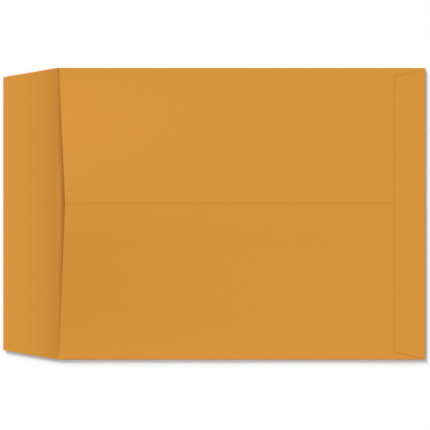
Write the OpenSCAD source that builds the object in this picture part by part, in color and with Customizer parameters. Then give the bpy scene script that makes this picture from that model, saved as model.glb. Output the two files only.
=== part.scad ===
// Open-end paper envelope with a centre seam, lying seam side up with its seal flap open.
// It is one die-cut sheet of kraft paper: two side panels are folded in and lapped along
// the middle, and the bottom flap is folded over them and glued.
// +X runs from the seal flap to the bottom fold and +Z is up. The origin is the middle of
// the front panel's resting face. All sizes are in millimetres.

/* [Body] */
// Length from the seal flap's crease to the bottom fold
body_len = 368.3; // [220:0.1:420]
// Width across the two side folds
body_w = 292.1; // [160:0.1:330]

/* [Paper] */
// Thickness of the sheet
paper_t = 0.15; // [0.1:0.01:0.25]
// Inside radius of the side folds
fold_r = 0.65; // [0.25:0.01:0.9]

/* [Centre seam] */
// Width of the glued lap, where one side panel covers the other
seam_lap = 22.4; // [8:0.1:30]
// Distance over which the upper panel climbs onto the lower one
lap_ramp = 30; // [5:1:45]

/* [Mouth] */
// Set-back of the mouth from the crease, at the side folds
mouth_side = 1.5; // [1:0.1:6]
// Set-back of the mouth from the crease, at the middle
mouth_mid = 7.3; // [4:0.1:20]
// Extra set-back of the lower side panel there, which keeps it hidden in the lap
mouth_step = 0.9; // [0:0.1:3]
// How far the seam side stands up at the middle of the mouth
mouth_rise = 4; // [3:0.1:12]

/* [Bottom flap] */
// Length of the glued flap, from the bottom fold to its free edge
bottom_len = 31.5; // [20:0.1:50]
// Step in from the side folds, at the bottom fold
bottom_root = 1.6; // [1:0.1:5]
// Step in from the side folds, at the free edge
bottom_tip = 8; // [2:0.1:20]
// How far the side panels stop short of the bottom fold
bottom_gap = 1.2; // [1:0.1:3]

/* [Seal flap] */
// Length of the flap along the paper
seal_len = 54.4; // [45:0.1:80]
// Step in from the side folds, at the free edge
seal_tip = 9.4; // [2:0.1:25]
// Angle at which the open flap leaves the crease
seal_angle = 2.5; // [1:0.5:35]
// Length of paper over which the flap curls back to level
seal_curl = 33; // [20:0.1:40]
// Inside radius of the crease
crease_r = 0.3; // [0.2:0.05:0.6]

/* [Hidden] */
$fn = 64;
kraft = "#D7943D";

// Lines across the envelope, from the mouth to the bottom
crease_x = -body_len / 2;
bottom_x = body_len / 2;
bottom_r = fold_r + paper_t / 2;
bend_x = bottom_x - bottom_r - paper_t;
panel_end = bottom_x - bottom_gap;
flap_x = bottom_x - bottom_len;

// Half widths, from the middle outwards
half_lap = seam_lap / 2;
half_w = body_w / 2;
flat_half = half_w - fold_r - paper_t;

// Levels: the seam side's under face, and the face that the bottom flap is glued to
seam_z = paper_t + 2 * fold_r;
glue_z = seam_z + paper_t;

// Where plies are glued or a bend meets a panel, one runs a little way into the other
bite = paper_t / 2;
tail = 0.4;

// The seam side bulges from here to the mouth, and lies flat from here to the bottom
flat_x = flap_x - 4;
bulge_half = flat_half - tail;

// Steps of the curved panels and of the flap's arcs
panel_rows = 10;
panel_cols = 8;
ramp_cols = 3;
crease_steps = 4;
curl_steps = 8;

// The sheet turning back over itself: its axis runs along +Y, and the sheet comes in
// along +X at the level of the origin and leaves along -X above it.
module turn(inner_r, width) {
    middle = inner_r + paper_t;
    translate([0, width, middle])
        rotate([90, 0, 0])
            rotate_extrude(angle = 180, start = -90)
                translate([inner_r, 0])
                    square([paper_t, width]);
    for (level = [0, 2 * inner_r + paper_t])
        translate([-tail, 0, level])
            cube([tail, width, paper_t]);
}

// A sheet between an under and an upper grid of points, each given as a list of rows
module lofted_sheet(under, upper) {
    rows = len(under);
    cols = len(under[0]);
    function lo(i, j) = i * cols + j;
    function hi(i, j) = (rows + i) * cols + j;
    skins = [for (i = [0 : rows - 2], j = [0 : cols - 2]) each [
        [hi(i, j), hi(i, j + 1), hi(i + 1, j + 1)],
        [hi(i, j), hi(i + 1, j + 1), hi(i + 1, j)],
        [lo(i, j), lo(i + 1, j + 1), lo(i, j + 1)],
        [lo(i, j), lo(i + 1, j), lo(i + 1, j + 1)]
    ]];
    ends = [for (j = [0 : cols - 2]) each [
        [lo(0, j), lo(0, j + 1), hi(0, j + 1), hi(0, j)],
        [lo(rows - 1, j + 1), lo(rows - 1, j), hi(rows - 1, j), hi(rows - 1, j + 1)]
    ]];
    sides = [for (i = [0 : rows - 2]) each [
        [lo(i, 0), hi(i, 0), hi(i + 1, 0), lo(i + 1, 0)],
        [lo(i + 1, cols - 1), hi(i + 1, cols - 1), hi(i, cols - 1), lo(i, cols - 1)]
    ]];
    polyhedron(
        points = [for (row = concat(under, upper)) each row],
        faces = concat(skins, ends, sides)
    );
}

// The flat sheet that everything is folded from, out to the cut edges at both ends
module front_panel() {
    half = [
        [crease_x, half_w],
        [crease_x + mouth_side, half_w],
        [crease_x + mouth_side, flat_half],
        [panel_end, flat_half],
        [panel_end, half_w],
        [bend_x, half_w - bottom_root]
    ];
    linear_extrude(paper_t)
        for (side = [0, 1])
            mirror([0, side])
                polygon(concat([[crease_x, 0]], half, [[bend_x, 0]]));
}

module side_folds() {
    for (side = [0, 1])
        mirror([0, side, 0])
            translate([panel_end, flat_half, 0])
                rotate([0, 0, 90])
                    turn(fold_r, panel_end - crease_x - mouth_side);
}

// How far the seam side stands above its flat level
function bulge(x, y) =
    let (
        along = max(0, min(1, (flat_x - x) / (flat_x - crease_x))),
        across = min(1, abs(y) / bulge_half)
    )
    mouth_rise * pow(along, 2.5) * pow(1 - across * across, 2);

// Lift of a panel at y, where it climbs onto the other panel's lap
function lap_lift(y, lift) = lift * max(0, min(1, 1 + (y + half_lap) / lap_ramp));

// A side panel with its fold at -Y. Its mouth edge is cut straight across, a little deeper
// towards the seam.
module side_panel(lift, set_back) {
    ys = concat(
        [-flat_half],
        [for (k = [0 : panel_cols]) -bulge_half + k / panel_cols * (bulge_half - half_lap - lap_ramp)],
        [for (k = [1 : ramp_cols]) -half_lap - (1 - k / ramp_cols) * lap_ramp],
        [0, half_lap]
    );
    function mouth_x(y) = crease_x + set_back + (set_back - mouth_side) * y / flat_half;
    function row_x(i, y) = i > panel_rows ? panel_end
        : mouth_x(y) + i / panel_rows * (flat_x - mouth_x(y));
    function row(i, up) = [for (y = ys)
        let (x = row_x(i, y), step = lap_lift(y, lift))
        [x, y, seam_z + bulge(x, y) + (up ? paper_t + step : max(0, step - bite))]
    ];
    lofted_sheet(
        [for (i = [0 : panel_rows + 1]) row(i, false)],
        [for (i = [0 : panel_rows + 1]) row(i, true)]
    );
}

module seam_side() {
    side_panel(paper_t, mouth_mid);
    mirror([0, 1, 0])
        side_panel(0, mouth_mid + mouth_step);
}

// The bottom flap steps over the lap beneath it
module bottom_flap() {
    root_half = half_w - bottom_root;
    tip_half = half_w - bottom_tip;
    outline = [[flap_x, tip_half], [bend_x, root_half], [bottom_x + paper_t, root_half]];
    step = [[half_lap + lap_ramp, 0], [half_lap, paper_t]];
    intersection() {
        linear_extrude(2 * glue_z)
            for (side = [0, 1])
                mirror([0, side])
                    polygon(concat([[flap_x, 0]], outline, [[bottom_x + paper_t, 0]]));
        union() {
            translate([bend_x, -half_w, 0])
                turn(bottom_r, body_w);
            translate([flap_x, 0, glue_z + paper_t])
                rotate([90, 0, 90])
                    linear_extrude(bend_x - flap_x)
                        for (side = [0, 1])
                            mirror([side, 0])
                                polygon(concat(
                                    [[0, -paper_t - bite], [half_w, -paper_t - bite], [half_w, 0]],
                                    step,
                                    [[0, paper_t]]
                                ));
        }
    }
}

// Middle line of the seal flap's section: [distance out, height, slope in degrees]
function seal_line() =
    let (
        bend_r = crease_r + paper_t / 2,
        curl_r = seal_curl / seal_angle * 180 / PI,
        bend = [for (k = [0 : crease_steps])
            let (a = seal_angle * k / crease_steps)
            [bend_r * sin(a), paper_t / 2 + bend_r * (1 - cos(a)), a]
        ],
        start = bend[crease_steps],
        curl = [for (k = [1 : curl_steps])
            let (a = seal_angle * (1 - k / curl_steps))
            [
                start.x + curl_r * (sin(seal_angle) - sin(a)),
                start.y + curl_r * (cos(a) - cos(seal_angle)),
                a
            ]
        ],
        level = curl[curl_steps - 1],
        rest = seal_len - seal_curl - bend_r * seal_angle * PI / 180
    )
    concat([[-tail, paper_t / 2, 0]], bend, curl, [[level.x + rest, level.y, 0]]);

module seal_flap() {
    line = seal_line();
    reach = line[len(line) - 1].x;
    function face(side) = [for (p = line)
        [p.x - side * paper_t / 2 * sin(p.z), p.y + side * paper_t / 2 * cos(p.z)]
    ];
    function reversed(list) = [for (i = [len(list) - 1 : -1 : 0]) list[i]];
    translate([crease_x, 0, 0])
        mirror([1, 0, 0])
            intersection() {
                translate([0, half_w, 0])
                    rotate([90, 0, 0])
                        linear_extrude(body_w)
                            polygon(concat(face(1), reversed(face(-1))));
                linear_extrude(seal_len)
                    polygon([
                        [-tail, -half_w],
                        [0, -half_w],
                        [reach, seal_tip - half_w],
                        [reach, half_w - seal_tip],
                        [0, half_w],
                        [-tail, half_w]
                    ]);
            }
}

module envelope() {
    color(kraft) {
        front_panel();
        side_folds();
        seam_side();
        bottom_flap();
        seal_flap();
    }
}

envelope();
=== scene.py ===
import math

import bmesh
import bpy
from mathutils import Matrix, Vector


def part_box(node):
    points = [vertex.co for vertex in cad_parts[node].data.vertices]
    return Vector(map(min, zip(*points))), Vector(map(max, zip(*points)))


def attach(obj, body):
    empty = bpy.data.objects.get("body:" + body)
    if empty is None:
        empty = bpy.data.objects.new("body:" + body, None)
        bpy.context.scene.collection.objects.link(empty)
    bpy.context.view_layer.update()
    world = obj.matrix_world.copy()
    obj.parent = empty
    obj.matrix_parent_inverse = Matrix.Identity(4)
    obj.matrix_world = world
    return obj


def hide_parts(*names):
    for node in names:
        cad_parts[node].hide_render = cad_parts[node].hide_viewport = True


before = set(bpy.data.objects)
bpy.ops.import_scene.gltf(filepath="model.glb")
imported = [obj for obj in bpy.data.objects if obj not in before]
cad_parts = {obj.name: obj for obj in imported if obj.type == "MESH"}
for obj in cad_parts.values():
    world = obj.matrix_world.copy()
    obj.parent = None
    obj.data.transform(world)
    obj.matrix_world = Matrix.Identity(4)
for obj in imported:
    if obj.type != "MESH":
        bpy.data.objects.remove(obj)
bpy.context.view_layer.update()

# Camera. It looks straight down from far above, so the folds stay parallel, and its frame
# is as wide as the whole envelope with a little white to spare.
FRAME_W = 0.4309
VIEW_CENTRE = (-0.0265, -0.0013)
VIEW_HEIGHT = 3.0
VIEW_REACH = 20

bpy.ops.object.select_all(action="DESELECT")
bpy.ops.object.camera_add(location=(*VIEW_CENTRE, VIEW_HEIGHT), rotation=(0, 0, 0))
camera = bpy.context.object
camera.data.lens = camera.data.sensor_width * VIEW_HEIGHT / FRAME_W
camera.data.clip_end = VIEW_REACH
bpy.context.scene.camera = camera

# Front panel. The real envelope is one die-cut sheet of 28 lb kraft paper, and this panel of
# it lies flat on the table. The sheet starts here as a grid, at the level of the middle of
# its thickness, and the other panels are pulled out of the grid's edges and folded over.
PAPER = 0.00015
FOLD_R = 0.00065  # inside radius of a fold before it is pressed
FOLD_PRESS = 0.3  # share of its round depth that a fold keeps once it is pressed
BODY_LEN = 0.3683
MOUTH_SIDE = 0.0015  # set-back of the mouth from the crease, at the side folds
BOTTOM_GAP = 0.0006  # how far the side panels stop short of the bottom fold
CELL = 0.005
SAME = 1e-5  # two places closer than this count as one
WELD = 1e-6  # corners closer than this are merged

_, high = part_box("envelope")
half_w = high.y
bottom_x = high.x
crease_x = bottom_x - BODY_LEN
mouth_x = crease_x + MOUTH_SIDE
panel_end = bottom_x - BOTTOM_GAP
middle = PAPER / 2
fold_mid = FOLD_R + PAPER / 2
flat_half = half_w - FOLD_PRESS * fold_mid - PAPER / 2

bpy.ops.object.select_all(action="DESELECT")
bpy.ops.mesh.primitive_grid_add(
    x_subdivisions=round((panel_end - mouth_x) / CELL),
    y_subdivisions=round(2 * flat_half / CELL),
    size=1,
    enter_editmode=True,
)
sheet = bpy.context.object
sheet.name = "folded_sheet"
bpy.ops.transform.resize(value=(panel_end - mouth_x, 2 * flat_half, 1), center_override=(0, 0, 0))
bpy.ops.transform.translate(value=((mouth_x + panel_end) / 2, 0, middle))
bpy.ops.mesh.select_mode(type="EDGE")


def pick_edges(test):
    """Selects only the visible edges whose two ends pass the test."""
    bpy.ops.mesh.select_all(action="DESELECT")
    mesh = bmesh.from_edit_mesh(sheet.data)
    for edge in mesh.edges:
        if not edge.hide and all(test(v.co) for v in edge.verts):
            edge.select_set(True)
    bmesh.update_edit_mesh(sheet.data)


def pick_faces(test):
    """Selects only the visible faces whose middle passes the test."""
    bpy.ops.mesh.select_all(action="DESELECT")
    mesh = bmesh.from_edit_mesh(sheet.data)
    for face in mesh.faces:
        if not face.hide and test(face.calc_center_median()):
            face.select_set(True)
    bmesh.update_edit_mesh(sheet.data)


def pull(step):
    """Extrudes the selected edges by one step, and leaves the new edges selected."""
    bpy.ops.mesh.extrude_edges_move(TRANSFORM_OT_translate={"value": step})


def near(a, b):
    """True where two places along an axis are the same one."""
    return abs(a - b) < SAME


def trim(start, end, **keep):
    """Cuts the selected faces along an upright plane through two points in plan view."""
    across = Vector((start[1] - end[1], end[0] - start[0], 0)).normalized()
    bpy.ops.mesh.bisect(plane_co=(*start, 0), plane_no=across, threshold=WELD, **keep)


# Side panels and centre seam. Each panel of the sheet is turned over at its side fold and cut
# along the mouth. The one from -Y climbs over the edge of the other, laps it and is glued
# to it. The cells run finer beside the folds, up the climb and along the free edges.
SEAM_LAP = 0.0224
SEAM_LIP = 0.0012  # strip at the seam's edge that the glue doesn't reach
LAP_STRIPS = 4
LAP_RAMP = 0.03  # width over which a ply climbs onto the lap
CLIMB = (0.07, 0.18, 0.25, 0.25, 0.18, 0.07)  # share of the climb in each step of the ramp
MOUTH_MID = 0.0073  # set-back of the mouth from the crease, at the middle
UNDER_STEP = 0.0009  # further set-back of the panel beneath, which hides its cut edge
BOTTOM_LEN = 0.0315
LIP = 0.0007  # strip at the bottom flap's edges that the glue doesn't reach
FOLD_STEPS = 10
RIM = 0.0004  # first strip past a fold

half_lap = SEAM_LAP / 2
lap_strip = (SEAM_LAP - 2 * SEAM_LIP) / LAP_STRIPS
ramp_step = LAP_RAMP / len(CLIMB)
plain_w = flat_half - half_lap - LAP_RAMP
panel_columns = round(plain_w / CELL)
column = (plain_w - RIM) / panel_columns
panel_z = middle + 2 * fold_mid
flap_x = bottom_x - BOTTOM_LEN

for side in (1, -1):
    # The fold, pressed to a part of its round depth
    pick_edges(lambda co: near(co.y, side * flat_half) and near(co.z, middle))
    bpy.ops.mesh.spin(
        steps=FOLD_STEPS,
        angle=-side * math.pi,
        center=(0, side * flat_half, middle + fold_mid),
        axis=(1, 0, 0),
    )
    pick_faces(lambda co: co.y * side > flat_half)
    bpy.ops.transform.resize(value=(1, FOLD_PRESS, 1), center_override=(0, side * flat_half, 0))

    # The panel, from the fold to the far edge of the lap
    pick_edges(lambda co: near(co.y, side * flat_half) and near(co.z, panel_z))
    for step in [RIM] + panel_columns * [column]:
        pull((0, -side * step, 0))
    for share in CLIMB:
        pull((0, -side * ramp_step, share * PAPER if side == -1 else 0))
    for step in LAP_STRIPS * [lap_strip] + 2 * [SEAM_LIP]:
        pull((0, -side * step, 0))

    # The slanted cut at the mouth, and two lines just ahead of the bottom flap
    pick_faces(lambda co: co.z > panel_z - PAPER / 2)
    throat_x = crease_x + MOUTH_MID + (UNDER_STEP if side == 1 else 0)
    trim((mouth_x, side * flat_half), (throat_x, 0), clear_inner=side == 1, clear_outer=side == -1)
    for x in (flap_x - 2 * LIP, flap_x - LIP):
        pick_faces(lambda co: co.z > panel_z - PAPER / 2)
        trim((x, -half_w), (x, half_w))

    # The finished panel is hidden, so that work on the next one leaves it alone
    pick_faces(lambda co: co.z > middle + fold_mid)
    bpy.ops.mesh.hide()

# Bottom flap. The front panel runs on round the bottom fold, and this last strip of it is
# glued down over the side panels and steps over their lap. Its ends are cut on a slant.
BOTTOM_ROOT = 0.0009  # step in from the side folds, at the bottom fold
BOTTOM_TIP = 0.008  # step in from the side folds, at the free edge
FLAP_ROWS = 6
FLAP_SLACK = 0.001  # how far short of the flap's edge a place still counts as on the flap

bottom_mid = FOLD_R + PAPER
bend_x = bottom_x - FOLD_PRESS * bottom_mid - PAPER / 2
flap_z = middle + 2 * bottom_mid
root_half = half_w - BOTTOM_ROOT
tip_half = half_w - BOTTOM_TIP
row = (bend_x - flap_x - 2 * LIP - RIM) / FLAP_ROWS

pick_edges(lambda co: near(co.x, panel_end) and near(co.z, middle))
pull((bend_x - panel_end, 0, 0))
bpy.ops.transform.resize(value=(1, root_half / flat_half, 1), center_override=(bend_x, 0, middle))
bpy.ops.mesh.spin(
    steps=FOLD_STEPS, angle=math.pi, center=(bend_x, 0, middle + bottom_mid), axis=(0, 1, 0)
)
pick_faces(lambda co: co.x > bend_x)
bpy.ops.transform.resize(value=(FOLD_PRESS, 1, 1), center_override=(bend_x, 0, 0))
pick_edges(lambda co: near(co.x, bend_x) and near(co.z, flap_z))
for step in [RIM] + FLAP_ROWS * [row] + 2 * [LIP]:
    pull((-step, 0, 0))


def on_flap(co):
    """True for a place on the bottom flap."""
    return co.x > flap_x - FLAP_SLACK and co.z > flap_z - PAPER / 4


for side in (1, -1):
    # The slanted cut, two lines inside it, and the lines that the flap bends along at the lap
    pick_faces(on_flap)
    trim(
        (flap_x, side * tip_half),
        (bend_x, side * root_half),
        clear_outer=side == 1,
        clear_inner=side == -1,
    )
    for inset in (LIP, 2 * LIP):
        pick_faces(on_flap)
        trim((flap_x, side * (tip_half - inset)), (bend_x, side * (root_half - inset)))
    for step in range(len(CLIMB) + 1):
        y = half_lap + LAP_RAMP * step / len(CLIMB)
        pick_faces(on_flap)
        trim((flap_x, side * y), (bend_x, side * y))

# Over the lap the flap is raised by one ply, a step at a time
for step, share in enumerate(CLIMB):
    y = half_lap + LAP_RAMP * (len(CLIMB) - 1 - step) / len(CLIMB)
    pick_faces(lambda co: on_flap(co) and co.x < bend_x - RIM - row and abs(co.y) < y)
    bpy.ops.transform.translate(value=(0, 0, share * PAPER))
bpy.ops.mesh.reveal(select=False)

# Seal flap. The strip of the sheet past the mouth, folded open along its scored crease. It
# leaves the crease at an angle and curls back to level, and its ends are cut on a slant.
SEAL_LEN = 0.0544
SEAL_TIP = 0.0094  # step in from the side folds, at the free edge
SEAL_ANGLE = math.radians(2.5)
SEAL_CURL = 0.033  # length of paper over which the flap curls back
CURL_STEPS = 12
LEVEL_ROWS = 6
SCORE_HALF = 0.0008  # half the width of the scored strip

curl_r = SEAL_CURL / SEAL_ANGLE
curl_x = crease_x - curl_r * math.sin(SEAL_ANGLE)
level_len = SEAL_LEN - SEAL_CURL
seal_x = curl_x - level_len

pick_edges(lambda co: near(co.x, mouth_x) and near(co.z, middle))
pull((-MOUTH_SIDE, 0, 0))
bpy.ops.transform.resize(value=(1, half_w / flat_half, 1), center_override=(crease_x, 0, middle))
bpy.ops.mesh.spin(
    steps=CURL_STEPS,
    angle=SEAL_ANGLE,
    center=(curl_x, 0, middle - curl_r * math.cos(SEAL_ANGLE)),
    axis=(0, 1, 0),
)
for _ in range(LEVEL_ROWS):
    pull((-level_len / LEVEL_ROWS, 0, 0))
for side in (1, -1):
    pick_faces(lambda co: co.x < crease_x)
    trim(
        (seal_x, side * (half_w - SEAL_TIP)),
        (crease_x, side * half_w),
        clear_outer=side == 1,
        clear_inner=side == -1,
    )

# All the panels are joined up, and the scored strip gets a line along each side
bpy.ops.mesh.select_all(action="SELECT")
bpy.ops.mesh.remove_doubles(threshold=WELD)
for score_x in (crease_x - SCORE_HALF, crease_x + SCORE_HALF):
    bpy.ops.mesh.select_all(action="SELECT")
    trim((score_x, -half_w), (score_x, half_w))
bpy.ops.mesh.normals_make_consistent(inside=False)
bpy.ops.object.mode_set(mode="OBJECT")

# Painted shade. The paper's colour is darkened where shade falls: on the seal flap towards
# the crease, along the score, on the bottom fold, on the side fold at +Y to dull the lamp's
# highlight there, and in the throat under the mouth's edge, fading into the pocket. Its depth
# runs from 0 for the plain paper to 1, and the sheet carries it as an attribute, which is
# worked out here, while its panels still lie straight.
SEAL_SHADE = 0.36  # painted shade on the seal flap at the crease, fading out over its curl
SCORE_SHADE = 0.12  # painted shade added along the outer side of the score
BEND_SHADE = 0.4  # painted shade on the bottom fold
SIDE_SHADE = 0.8  # painted shade on the side fold at +Y, which faces the lamp, to dull its highlight
CREASE_SHADE = 0.12  # the least painted shade that the throat has between the crease and the mouth
OUT_REACH = 0.0055  # distance over which the throat's painted shade fades from the mouth outwards
IN_REACH = 5 * OUT_REACH  # distance over which it fades inwards
FAR_FADE = 0.2  # share of the throat's painted shade that is lost at the side fold at +Y
NEAR_FADE = 0.6  # share of it that is lost at the side fold at -Y


def painted_shade_at(co):
    """How deep the painted shade is at a place on the sheet."""
    if co.x < crease_x - SCORE_HALF / 2:
        score = SCORE_SHADE if near(co.x, crease_x - SCORE_HALF) else 0
        return score + SEAL_SHADE * max(0, 1 - (crease_x - co.x) / SEAL_CURL)
    if co.x > bend_x:
        return BEND_SHADE
    if co.y > flat_half - RIM / 2:
        return SIDE_SHADE
    if co.y < -flat_half or co.z > middle + fold_mid:
        return 0
    throat = crease_x + MOUTH_MID - (MOUTH_MID - MOUTH_SIDE) * abs(co.y) / flat_half
    across = 1 - (FAR_FADE if co.y > 0 else NEAR_FADE) * (co.y / flat_half) ** 2
    outside = max(CREASE_SHADE, 1 - (throat - co.x) / OUT_REACH)
    inside = 1 - (co.x - throat) / IN_REACH
    return across * max(0, min(1, outside, inside))


painted_shade = sheet.data.attributes.new("painted_shade", "FLOAT", "POINT")
for v in sheet.data.vertices:
    painted_shade.data[v.index].value = painted_shade_at(v.co)

# Lie of the sheet. The seam side swells towards the mouth, where nothing holds it down, the
# opened flap keeps the crease off the table, and what the glue doesn't reach stands proud.
# Each lift is a function that gives the share of its height, from 0 to 1.
MOUTH_RISE = 0.004
SWELL_POWER = 2.5  # how fast the swelling dies away from the mouth
FLAT_LEAD = 0.004  # length of flat panel ahead of the bottom flap
CREASE_RISE = 0.0012
CREASE_LEAD = 0.03  # length of front panel that comes up off the table with the crease
CREASE_POWER = 1.1
FLAP_SAG = 0.5  # share of the crease's rise that the seal flap loses again
SCORE_RISE = 0.00008
EDGE_RISE = 0.00014
SEAM_SHARE = 0.8  # shares of that rise at the seam and at the two ends of the bottom flap
FAR_END_SHARE = 0.8
NEAR_END_SHARE = 0.45
WAVE_RISE = 0.00015
WAVE_LEN = 0.11

flat_x = flap_x - FLAT_LEAD
end_slope = (BOTTOM_TIP - BOTTOM_ROOT) / (bend_x - flap_x)


def swell(co):
    """The seam side swells towards the middle of the mouth."""
    if co.z < middle + fold_mid or co.x < crease_x + MOUTH_SIDE / 2:
        return 0
    along = max(0, min(1, (flat_x - co.x) / (flat_x - crease_x)))
    across = min(1, abs(co.y) / flat_half)
    return along ** SWELL_POWER * (1 - across ** 2) ** 2


def lead(co):
    """The opened flap pulls the sheet up off the table at the crease, and sags back a little."""
    if co.x < crease_x:
        level = max(0, 1 - (crease_x - co.x) / SEAL_CURL)
        return 1 - FLAP_SAG * (1 - level ** 2)
    along = max(0, min(1, (crease_x + CREASE_LEAD - co.x) / CREASE_LEAD))
    below = max(0, 1 - (co.z - middle) / (2 * fold_mid))
    return along ** CREASE_POWER * below


def bead(co):
    """The score that the crease follows leaves a fine ridge."""
    return 1 if near(co.x, crease_x) else 0


def lip(co):
    """The free edges past the glue stand a hair above the paper beneath them."""
    if near(co.y, half_lap) and co.z > panel_z + PAPER / 2 and co.x < flap_x - 1.5 * LIP:
        return SEAM_SHARE
    if on_flap(co) and near(co.x, flap_x):
        return 1
    end_y = root_half - (bend_x - co.x) * end_slope
    if on_flap(co) and co.x < bend_x - row / 2 and abs(co.y) > end_y - LIP / 2:
        return FAR_END_SHARE if co.y > 0 else NEAR_END_SHARE
    return 0


# The shares are all taken before the sheet moves, and then each lift is applied in turn
lifts = ((swell, MOUTH_RISE), (lead, CREASE_RISE), (bead, SCORE_RISE), (lip, EDGE_RISE))
for share, _ in lifts:
    group = sheet.vertex_groups.new(name=share.__name__)
    for v in sheet.data.vertices:
        group.add([v.index], share(v.co), "REPLACE")
for share, rise in lifts:
    lift = sheet.modifiers.new("lift", "DISPLACE")
    lift.direction = "Z"
    lift.vertex_group = share.__name__
    lift.mid_level = 0
    lift.strength = rise
    bpy.ops.object.modifier_apply(modifier=lift.name)
sheet.vertex_groups.clear()

waves = bpy.data.textures.new("sheet_waves", "CLOUDS")
waves.noise_scale = WAVE_LEN
waves.noise_depth = 1
wave = sheet.modifiers.new("wave", "DISPLACE")
wave.direction = "Z"
wave.texture = waves
wave.mid_level = 0
wave.strength = WAVE_RISE
bpy.ops.object.modifier_apply(modifier=wave.name)

# The sheet is set down again, so that its lowest place touches the table
gap = min(v.co.z for v in sheet.data.vertices) - middle
bpy.ops.object.mode_set(mode="EDIT")
bpy.ops.mesh.select_all(action="SELECT")
bpy.ops.transform.translate(value=(0, 0, -gap))
bpy.ops.object.mode_set(mode="OBJECT")

# Kraft paper. A dull sheet of brown fibres, pressed smooth. The pulp settles a little
# unevenly, so the tone is faintly cloudy, and its fibres and a few darker flecks run along
# the sheet. The paper's thickness comes last, half to either side of the folded sheet.
KRAFT = (0.673, 0.287, 0.0376)
KRAFT_GLOSS = 0.2
CLOUDS_PER_METRE = 160
CLOUD_TONE = (0.996, 1.004)
FIBRES_PER_METRE = 5200
FIBRE_DRAW = (0.1, 1, 1)
FIBRE_TONE = (0.95, 1.05)
FIBRE_ROUGHNESS = (0.74, 0.88)
FIBRE_RELIEF = 0.00004
RELIEF_STRENGTH = 0.35
FLECKS_PER_METRE = 3000
FLECK_DRAW = (0.25, 1, 1)
FLECK_TONE = (1, 0.84)
FLECK_RANGE = (0.74, 0.82)  # only the tops of the noise show as flecks
PULP_ROUGHNESS = 0.6
PULP_RANGE = (0.35, 0.65)  # the middle of the noise, where most of it lies
# share of the paper's colour that is left under no and under full painted shade
PAINTED_SHADE_TONE = (1, 0.6)
SMOOTH_ANGLE = math.radians(40)

kraft = bpy.data.materials.new("kraft_paper")
kraft.use_nodes = True
nodes = kraft.node_tree.nodes
links = kraft.node_tree.links
paper = nodes["Principled BSDF"]
paper.inputs["Specular IOR Level"].default_value = KRAFT_GLOSS
place = nodes.new("ShaderNodeTexCoord")


def pulp(per_metre, detail, draw=(1, 1, 1)):
    """Noise in the paper. A small number in draw makes its grains long along that axis."""
    mapping = nodes.new("ShaderNodeMapping")
    mapping.inputs["Scale"].default_value = draw
    links.new(place.outputs["Object"], mapping.inputs["Vector"])
    noise = nodes.new("ShaderNodeTexNoise")
    noise.inputs["Scale"].default_value = per_metre
    noise.inputs["Detail"].default_value = detail
    noise.inputs["Roughness"].default_value = PULP_ROUGHNESS
    links.new(mapping.outputs["Vector"], noise.inputs["Vector"])
    return noise.outputs["Fac"]


def spread(value, onto, over=PULP_RANGE):
    """Turns a value that runs over one range into one that runs over another."""
    node = nodes.new("ShaderNodeMapRange")
    node.inputs["From Min"].default_value = over[0]
    node.inputs["From Max"].default_value = over[1]
    node.inputs["To Min"].default_value = onto[0]
    node.inputs["To Max"].default_value = onto[1]
    links.new(value, node.inputs["Value"])
    return node.outputs["Result"]


def times(a, b):
    """One value times another."""
    node = nodes.new("ShaderNodeMath")
    node.operation = "MULTIPLY"
    links.new(a, node.inputs[0])
    links.new(b, node.inputs[1])
    return node.outputs["Value"]


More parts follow.
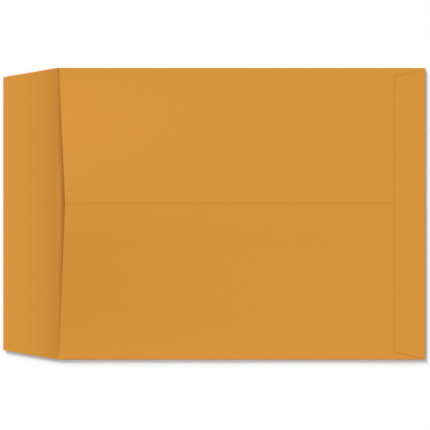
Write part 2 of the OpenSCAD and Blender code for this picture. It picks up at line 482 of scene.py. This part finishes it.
clouds = pulp(CLOUDS_PER_METRE, detail=3)
fibres = pulp(FIBRES_PER_METRE, detail=2, draw=FIBRE_DRAW)
flecks = pulp(FLECKS_PER_METRE, detail=0, draw=FLECK_DRAW)
painted_shade_node = nodes.new("ShaderNodeAttribute")
painted_shade_node.attribute_name = "painted_shade"
tone = times(spread(clouds, CLOUD_TONE), spread(fibres, FIBRE_TONE))
tone = times(tone, spread(flecks, FLECK_TONE, over=FLECK_RANGE))
# The painted shade darkens the paper's colour
tone = times(tone, spread(painted_shade_node.outputs["Fac"], PAINTED_SHADE_TONE, over=(0, 1)))
colour = nodes.new("ShaderNodeVectorMath")
colour.operation = "SCALE"
colour.inputs[0].default_value = KRAFT
links.new(tone, colour.inputs["Scale"])
links.new(colour.outputs["Vector"], paper.inputs["Base Color"])
links.new(spread(fibres, FIBRE_ROUGHNESS), paper.inputs["Roughness"])
relief = nodes.new("ShaderNodeBump")
relief.inputs["Strength"].default_value = RELIEF_STRENGTH
relief.inputs["Distance"].default_value = FIBRE_RELIEF
links.new(fibres, relief.inputs["Height"])
links.new(relief.outputs["Normal"], paper.inputs["Normal"])
sheet.data.materials.append(kraft)

thick = sheet.modifiers.new("paper", "SOLIDIFY")
thick.thickness = PAPER
thick.offset = 0
thick.use_even_offset = True
bpy.ops.object.modifier_apply(modifier=thick.name)
# The underside gets no painted shade
for v in sheet.data.vertices:
    if v.normal.z < 0:
        sheet.data.attributes["painted_shade"].data[v.index].value = 0
bpy.ops.object.shade_smooth_by_angle(angle=SMOOTH_ANGLE)
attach(sheet, "root")
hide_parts("envelope")

# Table top. A plain matt white board that runs out of sight on all sides. The envelope lies
# on it, and it takes the envelope's shadow.
TABLE_SIZE = 30
WHITE = (1, 1, 1, 1)

bpy.ops.object.select_all(action="DESELECT")
bpy.ops.mesh.primitive_plane_add(size=TABLE_SIZE)
floor = bpy.context.object
floor.name = "floor"
white = bpy.data.materials.new("white_floor")
white.use_nodes = True
board = white.node_tree.nodes["Principled BSDF"]
board.inputs["Base Color"].default_value = WHITE
board.inputs["Specular IOR Level"].default_value = 0
board.inputs["Roughness"].default_value = 1
floor.data.materials.append(white)

# Light. One soft lamp, low at the upper left of the view, and an even white sky. Together
# they light a level face so that its colour renders about as it is written.
LEVEL_LIGHT = 1.007
SKY = 0.52  # the sky's part of that light; the lamp gives the rest
ZENITH = math.radians(72.5)
AZIMUTH = math.radians(122)
LAMP_SPREAD = math.radians(22)

bpy.ops.object.light_add(type="SUN", rotation=(0, ZENITH, AZIMUTH))
lamp = bpy.context.object
lamp.data.energy = (LEVEL_LIGHT - SKY) * math.pi / math.cos(ZENITH)
lamp.data.angle = LAMP_SPREAD
world = bpy.data.worlds.new("sky")
bpy.context.scene.world = world
world.use_nodes = True
world.node_tree.nodes["Background"].inputs["Color"].default_value = WHITE
world.node_tree.nodes["Background"].inputs["Strength"].default_value = SKY
bpy.context.scene.view_settings.view_transform = "Standard"
